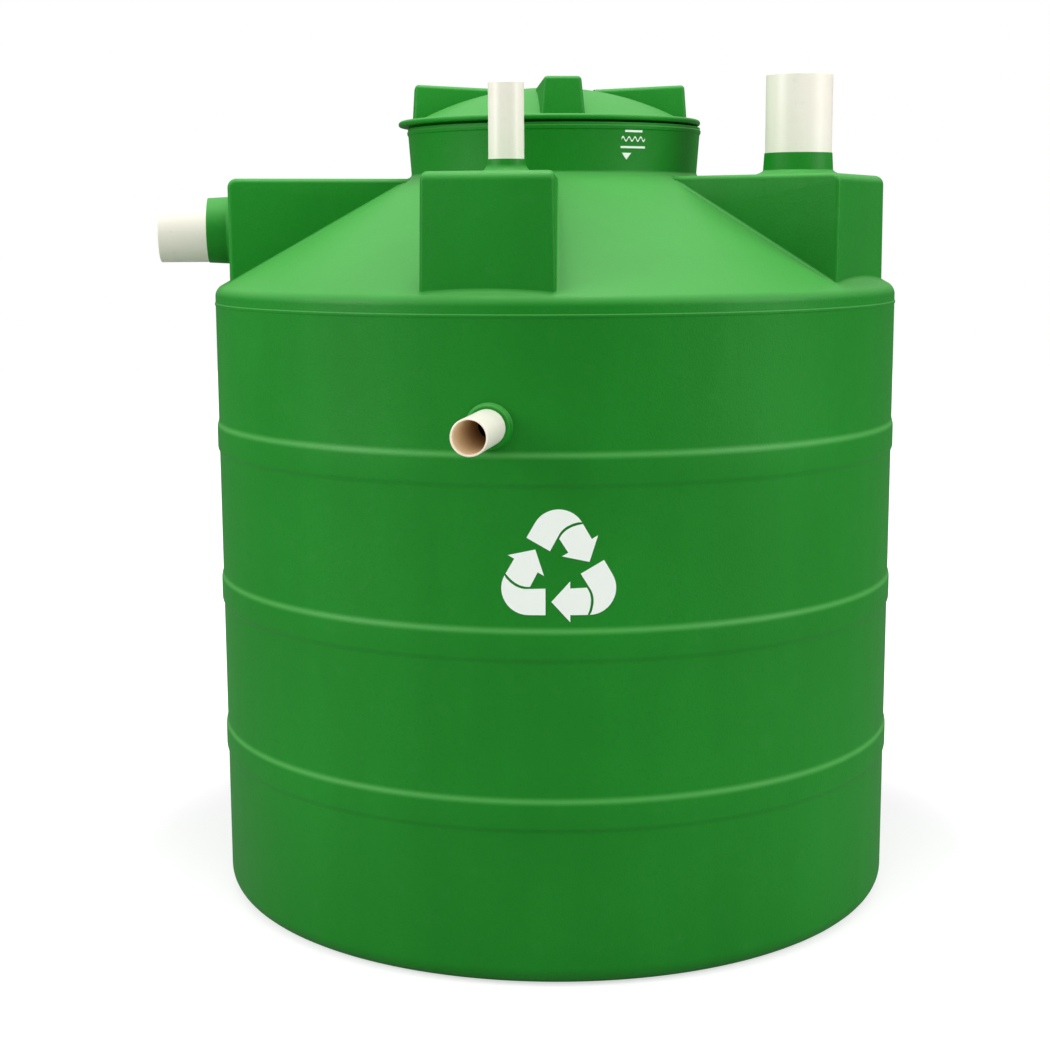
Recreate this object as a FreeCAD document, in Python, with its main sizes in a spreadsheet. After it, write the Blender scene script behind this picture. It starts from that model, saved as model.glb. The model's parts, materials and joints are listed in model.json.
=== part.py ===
# Vertical household biodigester tank: a moulded polyethylene shell with three raised
# bands, a cone roof with four pipe turrets, a round neck with a lift-off lid, and
# PVC pipe ends for the inlet, the vent, the access, the treated water and the sludge.
# Millimetres, +Z up. The origin is the centre of the floor's underside. The front,
# where the sludge pipe leaves the wall, faces -Y. Azimuths turn from the front
# towards +X.

import FreeCAD, Part
import os
import re
import Sketcher

SIZES = {
    # Shell
    "wall_radius": (600, "outside of the plain wall"),
    "wall_skin": (6, "thickness of the moulded shell"),
    "floor_corner": (40, "outside rounding between the floor and the wall"),
    "corner_flat": (10, "flat floor inside that rounding, in the same piece"),
    "corner_upstand": (25, "plain wall over that rounding, in the same piece"),
    "band_proud": (3, "how far a raised band stands out of the wall"),
    "band_width": (53, "height of a raised band, ramps included"),
    "band_ramp": (7, "height of the slope at a band's top and bottom"),
    "band_level": (279.5, "middle of the lowest band"),
    "band_pitch": (269, "from the middle of one band to the next"),
    "top_band": ("band_level + band_pitch * 2", "middle of the highest band"),
    "seam_rise": (233.5, "from the highest band up to the parting line"),
    "seam_level": ("top_band + seam_rise", "parting line under the shoulder"),
    "seam_proud": (1.2, "how far the parting bead stands out"),
    "seam_width": (3, "height of the parting bead"),
    # Roof
    "shoulder_rise": (23, "from the parting line to the sharp shoulder corner before rounding"),
    "shoulder_level": ("seam_level + shoulder_rise", "height of that corner"),
    "shoulder_round": (20, "outside rounding of the shoulder"),
    "shoulder_wide": (48, "width of the shoulder piece seen from above"),
    "shoulder_inner": ("wall_radius - shoulder_wide", "radius at which the roof cone starts"),
    "roof_slope": (29.1, "roof cone's angle from level"),
    "crown_wide": (48, "width of the closed ring of roof round the neck"),
    # Neck
    "neck_radius": (252, "outside of the neck at its foot"),
    "neck_flare": (6, "how much wider the neck is at its top"),
    "neck_tall": (81, "from the roof to the neck's top edge"),
    "bead_proud": (1.5, "how far the neck's top bead stands out"),
    "bead_width": (8, "height of the neck's top bead"),
    "bead_drop": (4, "from the neck's top edge down to its bead"),
    # Turrets
    "turret_rise": (188, "from the shoulder corner to the turrets' flat tops"),
    "turret_top": ("shoulder_level + turret_rise", "height of the turrets' flat tops"),
    "wide_setback": (34, "from the plain wall in to the outer face of a turret for a large pipe"),
    "wide_reach": ("wall_radius - wide_setback", "from the axis to that face"),
    "narrow_setback": (20, "from the plain wall in to the outer face of a turret for a small pipe"),
    "narrow_reach": ("wall_radius - narrow_setback", "from the axis to that face"),
    "turret_draft": (9, "how much each side of a turret turns towards the axis"),
    "turret_round": (12, "rounding of a turret's outside edges"),
    # Pipes
    "large_pipe": (55, "outside radius of a 110 mm pipe"),
    "large_bore": (51.8, "inside radius of a 110 mm pipe"),
    "small_pipe": (28, "outside radius of a 56 mm pipe"),
    "small_bore": (25.2, "inside radius of a 56 mm pipe"),
    "wide_margin": (68, "from a large pipe to each side of its turret's outer face"),
    "wide_turret": ("(large_pipe + wide_margin) * 2", "width of that turret's outer face"),
    "narrow_margin": (74.5, "from a small pipe to each side of its turret's outer face"),
    "narrow_turret": ("(small_pipe + narrow_margin) * 2", "width of that turret's outer face"),
    "pipe_chamfer": (1, "broken edge at a pipe's free end"),
    "pipe_seat": (35, "length of pipe inside the shell"),
    "pipe_step": (1.5, "how much thinner the seated end is, whose shoulder rests on the collar"),
    "pipe_clearance": (0.3, "all round gap between a pipe and what holds it"),
    "collar_lip": (1.2, "thickness of a collar at its free edge"),
    "collar_foot": (3.5, "thickness of a collar where it meets the shell"),
    "boss_wall": (8, "thickness of the sludge pipe's ring"),
    "boss_reach": (14, "how far the sludge pipe's ring stands out of the wall"),
    "vent_azimuth": (-10, "direction of the vent turret"),
    "vent_inset": (155, "from the vent turret's outer face in to the pipe's axis"),
    "vent_collar_tall": (21, "height of the vent collar over its turret"),
    "vent_stand": (138, "from the turret's top to the vent pipe's end"),
    "access_azimuth": (63.7, "direction of the access turret"),
    "access_inset": (112, "from the access turret's outer face in to the pipe's axis"),
    "access_collar_tall": (36, "height of the access collar over its turret"),
    "access_stand": (163, "from the turret's top to the access pipe's end"),
    "inlet_azimuth": (-85, "direction of the inlet turret"),
    "inlet_drop": (87, "from the turret's top down to the inlet pipe's axis"),
    "inlet_collar_long": (44, "length of the inlet collar out of its turret"),
    "inlet_stand": (128, "from the turret's outer face to the inlet pipe's end"),
    "outlet_azimuth": (170, "direction of the treated water turret"),
    "outlet_drop": (112, "from the turret's top down to the treated water pipe's axis"),
    "outlet_collar_long": (30, "length of the treated water collar"),
    "outlet_stand": (107, "from the turret's outer face to the treated water pipe's end"),
    "sludge_azimuth": (-9.4, "direction of the sludge pipe"),
    "sludge_rise": (66.5, "from the highest band up to the sludge pipe's axis"),
    "sludge_level": ("top_band + sludge_rise", "height of the sludge pipe's axis"),
    "sludge_stand": (145, "from the plain wall to the sludge pipe's end"),
    "panel_wide": (120, "width of the wall panel that the sludge pipe goes through"),
    "panel_below": (36, "from the sludge pipe's axis down to that panel's edge"),
    "panel_above": (60, "from the sludge pipe's axis up to that panel's edge"),
    # Lid
    "lid_shift": (8, "how far the loose lid lies towards the inlet"),
    "lid_overhang": (14, "how much wider the lid's rim is than the neck's foot"),
    "lid_radius": ("neck_radius + lid_overhang", "outside of the lid's rim"),
    "lid_gap": (0.3, "between the neck's top edge and the lid"),
    "rim_thick": (13, "height of the lid's rim"),
    "rim_round": (5, "rounding of the rim's outside edges"),
    "lid_skin": (5, "thickness of the dome and of the skirt"),
    "rim_ledge": (32, "rim left outside the dome"),
    "dome_radius": ("lid_radius - rim_ledge", "outside radius of the dome at its foot"),
    "dome_rise": (58, "height of the dome over the rim"),
    "skirt_deep": (38, "how far the skirt hangs into the neck"),
    "skirt_clearance": (5, "least gap between the skirt and the neck"),
    "lug_setback": (25.5, "from the rim's outside in to the outer end of a lug's foot"),
    "lug_reach": ("lid_radius - lug_setback", "from the lid's axis to the outer end of a lug's foot"),
    "lug_long": (163, "length of a lug, its end inside the dome included"),
    "lug_inner": ("lug_reach - lug_long", "from the lid's axis to a lug's inner end"),
    "lug_lean": (4, "how much further in the outer end is at a lug's top"),
    "lug_foot_width": (74, "width of a lug at the rim"),
    "lug_top_width": (62, "width of a lug at its top"),
    "lug_high": (62, "height of a lug's outer end over the rim"),
    "lug_fall": (8, "how much lower a lug's inner end is"),
    "lug_round": (4, "rounding of a lug's edges"),
    "lug_azimuth": (5.6, "direction of the front lug"),
    # Choosing edges
    "near": (1, "an edge this near to a named place is taken to lie there"),
}

# The parametric document and the sheet of sizes
doc = FreeCAD.newDocument("biodigester_tank")
sheet = doc.addObject("Spreadsheet::Sheet", "Sizes")
for row, (alias, (amount, meaning)) in enumerate(SIZES.items(), start=1):
    sheet.set(f"A{row}", meaning)
    sheet.set(f"B{row}", f"={amount}")
    sheet.setAlias(f"B{row}", alias)
doc.recompute()


def bound(text):
    """Point each size that an expression names at its cell."""
    return re.sub(r"[a-z_]+", lambda word: f"Sizes.{word[0]}" if word[0] in SIZES else word[0], text)


def amount_of(text):
    """Work out an expression with the sheet's sizes."""
    return float(sheet.evalExpression(bound(text)))


# Expressions that several pieces share
NECK_FOOT = "(shoulder_level + (wall_radius - neck_radius) * tan(roof_slope))"
ROOF_START = "(shoulder_level + (wall_radius - shoulder_inner) * tan(roof_slope))"
ROOF_DROP = "(wall_skin / cos(roof_slope))"
NECK_TOP = f"({NECK_FOOT} + neck_tall)"
NECK_BORE = "(neck_radius - wall_skin)"
LID_SEAT = f"({NECK_TOP} + lid_gap)"
RIM_TOP = f"({LID_SEAT} + rim_thick)"
SKIRT_RADIUS = f"({NECK_BORE} - lid_shift - skirt_clearance)"


def outline(body, name, plane, corners):
    """Draw a closed outline through corners, each a pair of expressions."""
    drawing = body.newObject("Sketcher::SketchObject", name)
    support = next(item for item in body.Origin.OriginFeatures if item.Role == plane)
    drawing.AttachmentSupport = [(support, "")]
    drawing.MapMode = "FlatFace"
    points = [FreeCAD.Vector(amount_of(across), amount_of(along), 0) for across, along in corners]
    sides = [Part.LineSegment(start, end) for start, end in zip(points, points[1:] + points[:1])]
    drawing.addGeometry(sides, False)
    for place, (across, along) in enumerate(corners):
        following = (place + 1) % len(corners)
        drawing.addConstraint(Sketcher.Constraint("Coincident", place, 2, following, 1))
        pin_corner(drawing, "DistanceX", -2, place, across, points[place].x)
        pin_corner(drawing, "DistanceY", -1, place, along, points[place].y)
    return drawing


def pin_corner(drawing, direction, axis, place, text, start):
    """Tie one coordinate of a corner to its expression."""
    if text == "0":
        drawing.addConstraint(Sketcher.Constraint("PointOnObject", place, 1, axis))
        return
    number = drawing.addConstraint(Sketcher.Constraint(direction, -1, 1, place, 1, start))
    drawing.setExpression(f"Constraints[{number}]", bound(text))


def turned(label, corners):
    """Turn an outline in the XZ plane about the Z axis."""
    body = doc.addObject("PartDesign::Body", label)
    profile = outline(body, f"{label}_profile", "XZ_Plane", corners)
    turn = body.newObject("PartDesign::Revolution", f"{label}_turn")
    turn.Profile = profile
    turn.ReferenceAxis = (profile, ["V_Axis"])
    turn.Angle = 360
    doc.recompute()
    return body


def raised(label, corners, height, plane="XY_Plane", both_ways=False):
    """Pad an outline to a height."""
    body = doc.addObject("PartDesign::Body", label)
    profile = outline(body, f"{label}_plan", plane, corners)
    pad = body.newObject("PartDesign::Pad", f"{label}_pad")
    pad.Profile = profile
    pad.setExpression("Length", bound(height))
    pad.Midplane = both_ways
    doc.recompute()
    return body


def rounded(body, radius, wanted):
    """Round the edges of a body's last feature that the test picks."""
    base = body.Tip
    picked = [f"Edge{n}" for n, edge in enumerate(base.Shape.Edges, start=1) if wanted(edge)]
    fillet = body.newObject("PartDesign::Fillet", f"{body.Name}_round")
    fillet.Base = (base, picked)
    fillet.setExpression("Radius", bound(radius))
    body.Tip = fillet
    doc.recompute()
    return body


def circle_at(radius, level):
    """Pick the round edge of a turned body with this radius and height."""
    def wanted(edge):
        middle = edge.BoundBox.Center
        return (abs(edge.BoundBox.XMax - amount_of(radius)) < amount_of("near")
                and abs(middle.z - amount_of(level)) < amount_of("near")
                and edge.BoundBox.ZLength < amount_of("near"))
    return wanted


def placed(piece, azimuth, reach="0", level="0", leaning=False):
    """Turn a piece to an azimuth, at a distance from the axis and a height."""
    spot = (f"vector(({reach}) * sin({azimuth}); -({reach}) * cos({azimuth}); {level})")
    heading = f"rotation(vector(0; 0; 1); {azimuth})"
    if leaning:
        heading = f"{heading} * rotation(vector(1; 0; 0); 90)"
    piece.setExpression("Placement", bound(f"placement({spot}; {heading})"))
    doc.recompute()
    return piece


def cut(label, base, tool):
    """Take one shape away from another."""
    result = doc.addObject("Part::Cut", label)
    result.Base = base
    result.Tool = tool
    doc.recompute()
    return result


def joined(label, pieces):
    """Gather shapes that cut together."""
    result = doc.addObject("Part::MultiFuse", label)
    result.Shapes = pieces
    doc.recompute()
    return result


def seat_hole(pipe):
    """Radius of the hole that holds a pipe's seated end."""
    return f"{pipe} - pipe_step + pipe_clearance"


def drill(label, radius, length):
    """A plain cylinder, used to cut a hole for a pipe."""
    cylinder = doc.addObject("Part::Cylinder", label)
    cylinder.setExpression("Radius", bound(radius))
    cylinder.setExpression("Height", bound(length))
    doc.recompute()
    return cylinder


# Floor, and its rim rounded up into the lowest stretch of wall
FLOOR_EDGE = "wall_radius - floor_corner - corner_flat"
RIM_COURSE = "floor_corner + corner_upstand"
tank_floor = turned("tank_floor", [
    ("0", "0"),
    (FLOOR_EDGE, "0"),
    (FLOOR_EDGE, "wall_skin"),
    ("0", "wall_skin"),
])
floor_rim = turned("floor_rim", [
    (FLOOR_EDGE, "0"),
    ("wall_radius", "0"),
    ("wall_radius", RIM_COURSE),
    ("wall_radius - wall_skin", RIM_COURSE),
    ("wall_radius - wall_skin", "wall_skin"),
    (FLOOR_EDGE, "wall_skin"),
])
rounded(floor_rim, "floor_corner", circle_at("wall_radius", "0"))
rounded(floor_rim, "floor_corner - wall_skin", circle_at("wall_radius - wall_skin", "wall_skin"))


def banded_wall(label, low, high, band):
    """A stretch of wall with one raised band formed in it."""
    skin = "wall_radius - wall_skin"
    return turned(label, [
        ("wall_radius", low),
        ("wall_radius", f"{band} - band_width / 2"),
        ("wall_radius + band_proud", f"{band} - band_width / 2 + band_ramp"),
        ("wall_radius + band_proud", f"{band} + band_width / 2 - band_ramp"),
        ("wall_radius", f"{band} + band_width / 2"),
        ("wall_radius", high),
        (skin, high),
        (skin, f"{band} + band_width / 2"),
        (f"{skin} + band_proud", f"{band} + band_width / 2 - band_ramp"),
        (f"{skin} + band_proud", f"{band} - band_width / 2 + band_ramp"),
        (skin, f"{band} - band_width / 2"),
        (skin, low),
    ])


# Wall, in three stretches that meet halfway between the bands
LOWER_JOINT = "band_level + band_pitch / 2"
UPPER_JOINT = "top_band - band_pitch / 2"
lower_wall = banded_wall("lower_wall", RIM_COURSE, LOWER_JOINT, "band_level")
middle_wall = banded_wall("middle_wall", LOWER_JOINT, UPPER_JOINT, "top_band - band_pitch")
whole_upper_wall = banded_wall("whole_upper_wall", UPPER_JOINT, "seam_level", "top_band")
panel_block = placed(raised("panel_block", [
    ("-panel_wide / 2", "-wall_radius - boss_reach"),
    ("panel_wide / 2", "-wall_radius - boss_reach"),
    ("panel_wide / 2", "-wall_radius + pipe_seat"),
    ("-panel_wide / 2", "-wall_radius + pipe_seat"),
], "panel_below + panel_above"), "sludge_azimuth", level="sludge_level - panel_below")
upper_wall = cut("upper_wall", whole_upper_wall, panel_block)

# The panel of that wall that the sludge pipe goes through
sludge_hole = placed(
    drill("sludge_hole", seat_hole("small_pipe"), "wall_radius"),
    "sludge_azimuth", "wall_radius / 2", "sludge_level", leaning=True)
solid_panel = doc.addObject("Part::Common", "solid_panel")
solid_panel.Base = whole_upper_wall
solid_panel.Tool = panel_block
doc.recompute()
sludge_panel = cut("sludge_panel", solid_panel, sludge_hole)

# Bead on the mould's parting line
parting_bead = turned("parting_bead", [
    ("wall_radius", "seam_level - seam_width / 2"),
    ("wall_radius + seam_proud", "seam_level - seam_width / 2"),
    ("wall_radius + seam_proud", "seam_level + seam_width / 2"),
    ("wall_radius", "seam_level + seam_width / 2"),
])

# Shoulder, rounded over into the roof
INNER_SHOULDER = f"shoulder_level + wall_skin * tan(roof_slope) - {ROOF_DROP}"
shoulder = turned("shoulder", [
    ("wall_radius", "seam_level"),
    ("wall_radius", "shoulder_level"),
    ("shoulder_inner", ROOF_START),
    ("shoulder_inner", f"{ROOF_START} - {ROOF_DROP}"),
    ("wall_radius - wall_skin", INNER_SHOULDER),
    ("wall_radius - wall_skin", "seam_level"),
])
rounded(shoulder, "shoulder_round", circle_at("wall_radius", "shoulder_level"))
rounded(shoulder, "shoulder_round - wall_skin", circle_at("wall_radius - wall_skin", INNER_SHOULDER))

# Everything under the outside of the roof and inside the neck, which trims the turrets
roof_core = turned("roof_core", [
    ("0", "0"),
    ("wall_radius", "0"),
    ("wall_radius", "shoulder_level"),
    ("neck_radius", NECK_FOOT),
    ("neck_radius + neck_flare", NECK_TOP),
    ("0", NECK_TOP),
])
rounded(roof_core, "shoulder_round", circle_at("wall_radius", "shoulder_level"))


def turret_plan(width, reach, skin):
    """Plan of a turret that points to the front, its sides a skin inside the outer ones."""
    outer_half = f"{width} / 2 - {skin} * tan(turret_draft) - {skin} / cos(turret_draft)"
    inner_half = f"{outer_half} - ({reach} - {skin} - {NECK_BORE}) * tan(turret_draft)"
    return [
        (f"-({outer_half})", f"-({reach} - {skin})"),
        (outer_half, f"-({reach} - {skin})"),
        (inner_half, f"-{NECK_BORE}"),
        (f"-({inner_half})", f"-{NECK_BORE}"),
    ]


def turret_edge(reach):
    """Pick a turret block's outside upright edges and its top edges."""
    near = amount_of("near")

    def wanted(edge):
        box = edge.BoundBox
        upright = box.ZLength > box.XLength + box.YLength and box.YMax < near - amount_of(reach)
        on_top = box.ZMin > amount_of("turret_top") - near and box.YMin < -amount_of(NECK_BORE) - near
        return upright or on_top
    return wanted


def turret(name, size, azimuth, hole):
    """A hollow turret that stands on the roof, and the hollow in it."""
    width, reach = f"{size}_turret", f"{size}_reach"
    block = raised(f"{name}_block", turret_plan(width, reach, "0"), "turret_top")
    placed(rounded(block, "turret_round", turret_edge(reach)), azimuth)
    hollow = raised(f"{name}_hollow", turret_plan(width, reach, "wall_skin"), "turret_top - wall_skin")
    placed(hollow, azimuth)
    inside = joined(f"{name}_inside", [roof_core, hollow, hole])
    return cut(f"{name}_turret", block, inside), hollow


def collar(label, pipe, length):
    """A moulded ring round a pipe's seated end, thicker at its foot."""
    return turned(label, [
        (seat_hole(pipe), "0"),
        (f"{pipe} + collar_foot", "0"),
        (f"{pipe} + collar_lip", length),
        (seat_hole(pipe), length),
    ])


def pipe_end(label, pipe, bore, held, length):
    """A pipe from inside the shell, held by its collar, to its free end."""
    start = "-(wall_skin + pipe_seat)"
    return turned(label, [
        (bore, start),
        (f"{pipe} - pipe_step", start),
        (f"{pipe} - pipe_step", held),
        (pipe, held),
        (pipe, f"{length} - pipe_chamfer"),
        (f"{pipe} - pipe_chamfer", length),
        (bore, length),
    ])


# Vent and access: turrets with an upright pipe through the top
vent_hole = placed(
    drill("vent_hole", seat_hole("small_pipe"), "turret_top"),
    "vent_azimuth", "narrow_reach - vent_inset")
vent_turret, vent_hollow = turret("vent", "narrow", "vent_azimuth", vent_hole)
vent_collar = placed(
    collar("vent_collar", "small_pipe", "vent_collar_tall"),
    "vent_azimuth", "narrow_reach - vent_inset", "turret_top")
vent_pipe = placed(
    pipe_end("vent_pipe", "small_pipe", "small_bore", "vent_collar_tall", "vent_stand"),
    "vent_azimuth", "narrow_reach - vent_inset", "turret_top")

access_hole = placed(
    drill("access_hole", seat_hole("large_pipe"), "turret_top"),
    "access_azimuth", "wide_reach - access_inset")
access_turret, access_hollow = turret("access", "wide", "access_azimuth", access_hole)
access_collar = placed(
    collar("access_collar", "large_pipe", "access_collar_tall"),
    "access_azimuth", "wide_reach - access_inset", "turret_top")
access_pipe = placed(
    pipe_end("access_pipe", "large_pipe", "large_bore", "access_collar_tall", "access_stand"),
    "access_azimuth", "wide_reach - access_inset", "turret_top")

# Inlet and treated water: turrets with a level pipe through the outer face
INLET_LEVEL = "turret_top - inlet_drop"
OUTLET_LEVEL = "turret_top - outlet_drop"
inlet_hole = placed(
    drill("inlet_hole", seat_hole("large_pipe"), "wall_radius"),
    "inlet_azimuth", "neck_radius", INLET_LEVEL, leaning=True)
inlet_turret, inlet_hollow = turret("inlet", "wide", "inlet_azimuth", inlet_hole)
inlet_collar = placed(
    collar("inlet_collar", "large_pipe", "inlet_collar_long"),
    "inlet_azimuth", "wide_reach", INLET_LEVEL, leaning=True)
inlet_pipe = placed(
    pipe_end("inlet_pipe", "large_pipe", "large_bore", "inlet_collar_long", "inlet_stand"),
    "inlet_azimuth", "wide_reach", INLET_LEVEL, leaning=True)

outlet_hole = placed(
    drill("outlet_hole", seat_hole("small_pipe"), "wall_radius"),
    "outlet_azimuth", "neck_radius", OUTLET_LEVEL, leaning=True)
outlet_turret, outlet_hollow = turret("outlet", "narrow", "outlet_azimuth", outlet_hole)
outlet_collar = placed(
    collar("outlet_collar", "small_pipe", "outlet_collar_long"),
    "outlet_azimuth", "narrow_reach", OUTLET_LEVEL, leaning=True)
outlet_pipe = placed(
    pipe_end("outlet_pipe", "small_pipe", "small_bore", "outlet_collar_long", "outlet_stand"),
    "outlet_azimuth", "narrow_reach", OUTLET_LEVEL, leaning=True)

# Roof cone: a closed ring round the neck, and a panel between each two turrets
CROWN_EDGE = "(neck_radius + crown_wide)"


def cone_level(radius, below):
    """Height of the roof cone at a radius, or of its underside."""
    return f"shoulder_level + (wall_radius - {radius}) * tan(roof_slope) - {below}"


def cone_ring(label, inner, outer):
    """A ring of the roof cone between two radii."""
    return turned(label, [
        (outer, cone_level(outer, "0")),
        (inner, cone_level(inner, "0")),
        (inner, cone_level(inner, ROOF_DROP)),
        (outer, cone_level(outer, ROOF_DROP)),
    ])


roof_crown = turned("roof_crown", [
    (CROWN_EDGE, cone_level(CROWN_EDGE, "0")),
    ("neck_radius", NECK_FOOT),
    (NECK_BORE, NECK_FOOT),
    (NECK_BORE, cone_level(NECK_BORE, ROOF_DROP)),
    (CROWN_EDGE, cone_level(CROWN_EDGE, ROOF_DROP)),
])
turret_hollows = joined("turret_hollows", [vent_hollow, access_hollow, inlet_hollow, outlet_hollow])
panel_ring = cut("panel_ring", cone_ring("closed_ring", CROWN_EDGE, "shoulder_inner"), turret_hollows)


def spot_at(azimuth):
    """A place well outside the tank in a direction, seen from above."""
    return f"wall_radius * 2 * sin({azimuth})", f"-wall_radius * 2 * cos({azimuth})"


def roof_panel(label, start, end):
    """The panel of the roof between the turrets at two azimuths."""
    sector = raised(f"{label}_sector", [
        ("0", "0"), spot_at(start), spot_at(f"({start} + {end}) / 2"), spot_at(end)], "turret_top")
    panel = doc.addObject("Part::Common", label)
    panel.Base = panel_ring
    panel.Tool = sector
    doc.recompute()
    return panel


roof_panels = [
    roof_panel("roof_front_right", "vent_azimuth", "access_azimuth"),
    roof_panel("roof_back_right", "access_azimuth", "outlet_azimuth"),
    roof_panel("roof_back_left", "outlet_azimuth", "(inlet_azimuth + 360)"),
    roof_panel("roof_front_left", "inlet_azimuth", "vent_azimuth"),
]

# Neck, a little wider at its top, with a bead under its edge
neck = turned("neck", [
    (NECK_BORE, NECK_FOOT),
    ("neck_radius", NECK_FOOT),
    ("neck_radius + neck_flare", NECK_TOP),
    (NECK_BORE, NECK_TOP),
])
BEAD_TOP_RADIUS = "neck_radius + neck_flare * (1 - bead_drop / neck_tall)"
BEAD_LOW_RADIUS = "neck_radius + neck_flare * (1 - (bead_drop + bead_width) / neck_tall)"
neck_bead = turned("neck_bead", [
    (BEAD_LOW_RADIUS, f"{NECK_TOP} - bead_drop - bead_width"),
    (f"{BEAD_LOW_RADIUS} + bead_proud", f"{NECK_TOP} - bead_drop - bead_width"),
    (f"{BEAD_TOP_RADIUS} + bead_proud", f"{NECK_TOP} - bead_drop"),
    (BEAD_TOP_RADIUS, f"{NECK_TOP} - bead_drop"),
])

# Sludge pipe through the upper wall, in a ring seated on the round wall
whole_boss = placed(turned("whole_boss", [
    (seat_hole("small_pipe"), "-wall_skin"),
    ("small_pipe + boss_wall", "-wall_skin"),
    ("small_pipe + boss_wall", "boss_reach"),
    (seat_hole("small_pipe"), "boss_reach"),
]), "sludge_azimuth", "wall_radius", "sludge_level", leaning=True)
wall_core = drill("wall_core", "wall_radius", "seam_level")
sludge_boss = cut("sludge_boss", whole_boss, wall_core)
sludge_pipe = placed(
    pipe_end("sludge_pipe", "small_pipe", "small_bore", "boss_reach", "sludge_stand"),
    "sludge_azimuth", "wall_radius", "sludge_level", leaning=True)


def on_lid(piece, azimuth="0", level="0"):
    """Put a piece drawn on the tank's axis on the shifted axis of the lid."""
    piece.setExpression("Placement", bound(
        f"placement(vector(-lid_shift; 0; {level}); rotation(vector(0; 0; 1); {azimuth}))"))
    doc.recompute()
    return piece


# Lid: rim on the neck, skirt inside it, dome on top
lid_rim = turned("lid_rim", [
    (f"{SKIRT_RADIUS} - lid_skin", LID_SEAT),
    ("lid_radius", LID_SEAT),
    ("lid_radius", RIM_TOP),
    (f"{SKIRT_RADIUS} - lid_skin", RIM_TOP),
])
rounded(lid_rim, "rim_round", circle_at("lid_radius", RIM_TOP))
rounded(lid_rim, "rim_round", circle_at("lid_radius", LID_SEAT))
on_lid(lid_rim)
lid_skirt = on_lid(turned("lid_skirt", [
    (f"{SKIRT_RADIUS} - lid_skin", f"{LID_SEAT} - skirt_deep"),
    (SKIRT_RADIUS, f"{LID_SEAT} - skirt_deep"),
    (SKIRT_RADIUS, LID_SEAT),
    (f"{SKIRT_RADIUS} - lid_skin", LID_SEAT),
]))


DOME_BALL = "((dome_radius ^ 2 + dome_rise ^ 2) / (dome_rise * 2))"


def cap(label, inset):
    """The top of a ball, standing on the rim."""
    ball = doc.addObject("Part::Sphere", f"{label}_ball")
    ball.setExpression("Radius", bound(f"{DOME_BALL} - {inset}"))
    on_lid(ball, level=f"{RIM_TOP} + dome_rise - {DOME_BALL}")
    over_rim = on_lid(drill(f"{label}_over_rim", "lid_radius", "dome_rise"), level=RIM_TOP)
    top = doc.addObject("Part::Common", label)
    top.Base = ball
    top.Tool = over_rim
    doc.recompute()
    return top


dome_outside = cap("dome_outside", "0")
lid_dome = cut("lid_dome", dome_outside, cap("dome_inside", "lid_skin"))


def lug_edge(edge):
    """Pick a lug's outer upright edges and its top edges, but not its inner end's."""
    box = edge.BoundBox
    near = amount_of("near")
    at_foot = box.ZMax < amount_of(RIM_TOP) + near
    at_inner_end = box.YMin > -amount_of("lug_inner") - near
    return not at_foot and not at_inner_end


def lid_lug(label, azimuth):
    """A grip on the lid: narrower at its top, which falls towards the dome."""
    front_view = raised(f"{label}_front_view", [
        ("-lug_foot_width / 2", RIM_TOP),
        ("lug_foot_width / 2", RIM_TOP),
        ("lug_top_width / 2", f"{RIM_TOP} + lug_high"),
        ("-lug_top_width / 2", f"{RIM_TOP} + lug_high"),
    ], "lug_reach * 2", plane="XZ_Plane", both_ways=True)
    side_view = raised(f"{label}_side_view", [
        ("-lug_reach", RIM_TOP),
        ("-lug_inner", RIM_TOP),
        ("-lug_inner", f"{RIM_TOP} + lug_high - lug_fall"),
        ("-(lug_reach - lug_lean)", f"{RIM_TOP} + lug_high"),
    ], "lug_foot_width", plane="YZ_Plane", both_ways=True)
    block = doc.addObject("Part::Common", f"{label}_block")
    block.Base = front_view
    block.Tool = side_view
    doc.recompute()
    soft_block = doc.addObject("Part::Fillet", f"{label}_soft_block")
    soft_block.Base = block
    radius = amount_of("lug_round")
    picked = [n for n, edge in enumerate(block.Shape.Edges, start=1) if lug_edge(edge)]
    soft_block.Edges = [(n, radius, radius) for n in picked]
    doc.recompute()
    on_lid(soft_block, azimuth)
    return cut(label, soft_block, dome_outside)


LUG_SIDES = ["front", "right", "back", "left"]
lid_lugs = [
    lid_lug(f"lid_lug_{side}", f"lug_azimuth + {quarter} * 360 / {len(LUG_SIDES)}")
    for quarter, side in enumerate(LUG_SIDES)
]

# Check every object, then write each piece
PIECES = [
    tank_floor, floor_rim, lower_wall, middle_wall, upper_wall, sludge_panel,
    parting_bead, shoulder, roof_crown, *roof_panels, neck, neck_bead,
    inlet_turret, vent_turret, access_turret, outlet_turret,
    inlet_collar, vent_collar, access_collar, outlet_collar, sludge_boss,
    inlet_pipe, vent_pipe, access_pipe, outlet_pipe, sludge_pipe,
    lid_rim, lid_skirt, lid_dome, *lid_lugs,
]
doc.recompute()
for item in doc.Objects:
    if "Invalid" in item.State or "Error" in item.State:
        raise RuntimeError(f"{item.Label} did not build: {item.State}")
os.makedirs("parts", exist_ok=True)
for piece in PIECES:
    shape = piece.Shape
    if shape.isNull() or not shape.isValid() or not shape.Solids:
        raise RuntimeError(f"{piece.Label} has no sound solid")
    shape.exportStep(f"parts/{piece.Label}.step")
    print(f"{piece.Label}: {len(shape.Solids)} solid, {shape.Volume / 1000:.1f} cm3")
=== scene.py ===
"""Dress the biodigester tank: moulded shell, turret feet, lid, pipes, marks and studio."""
import json
import math

import bmesh
import bpy
from bpy.props import FloatProperty, FloatVectorProperty, PointerProperty
from mathutils import Matrix, Vector

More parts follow.
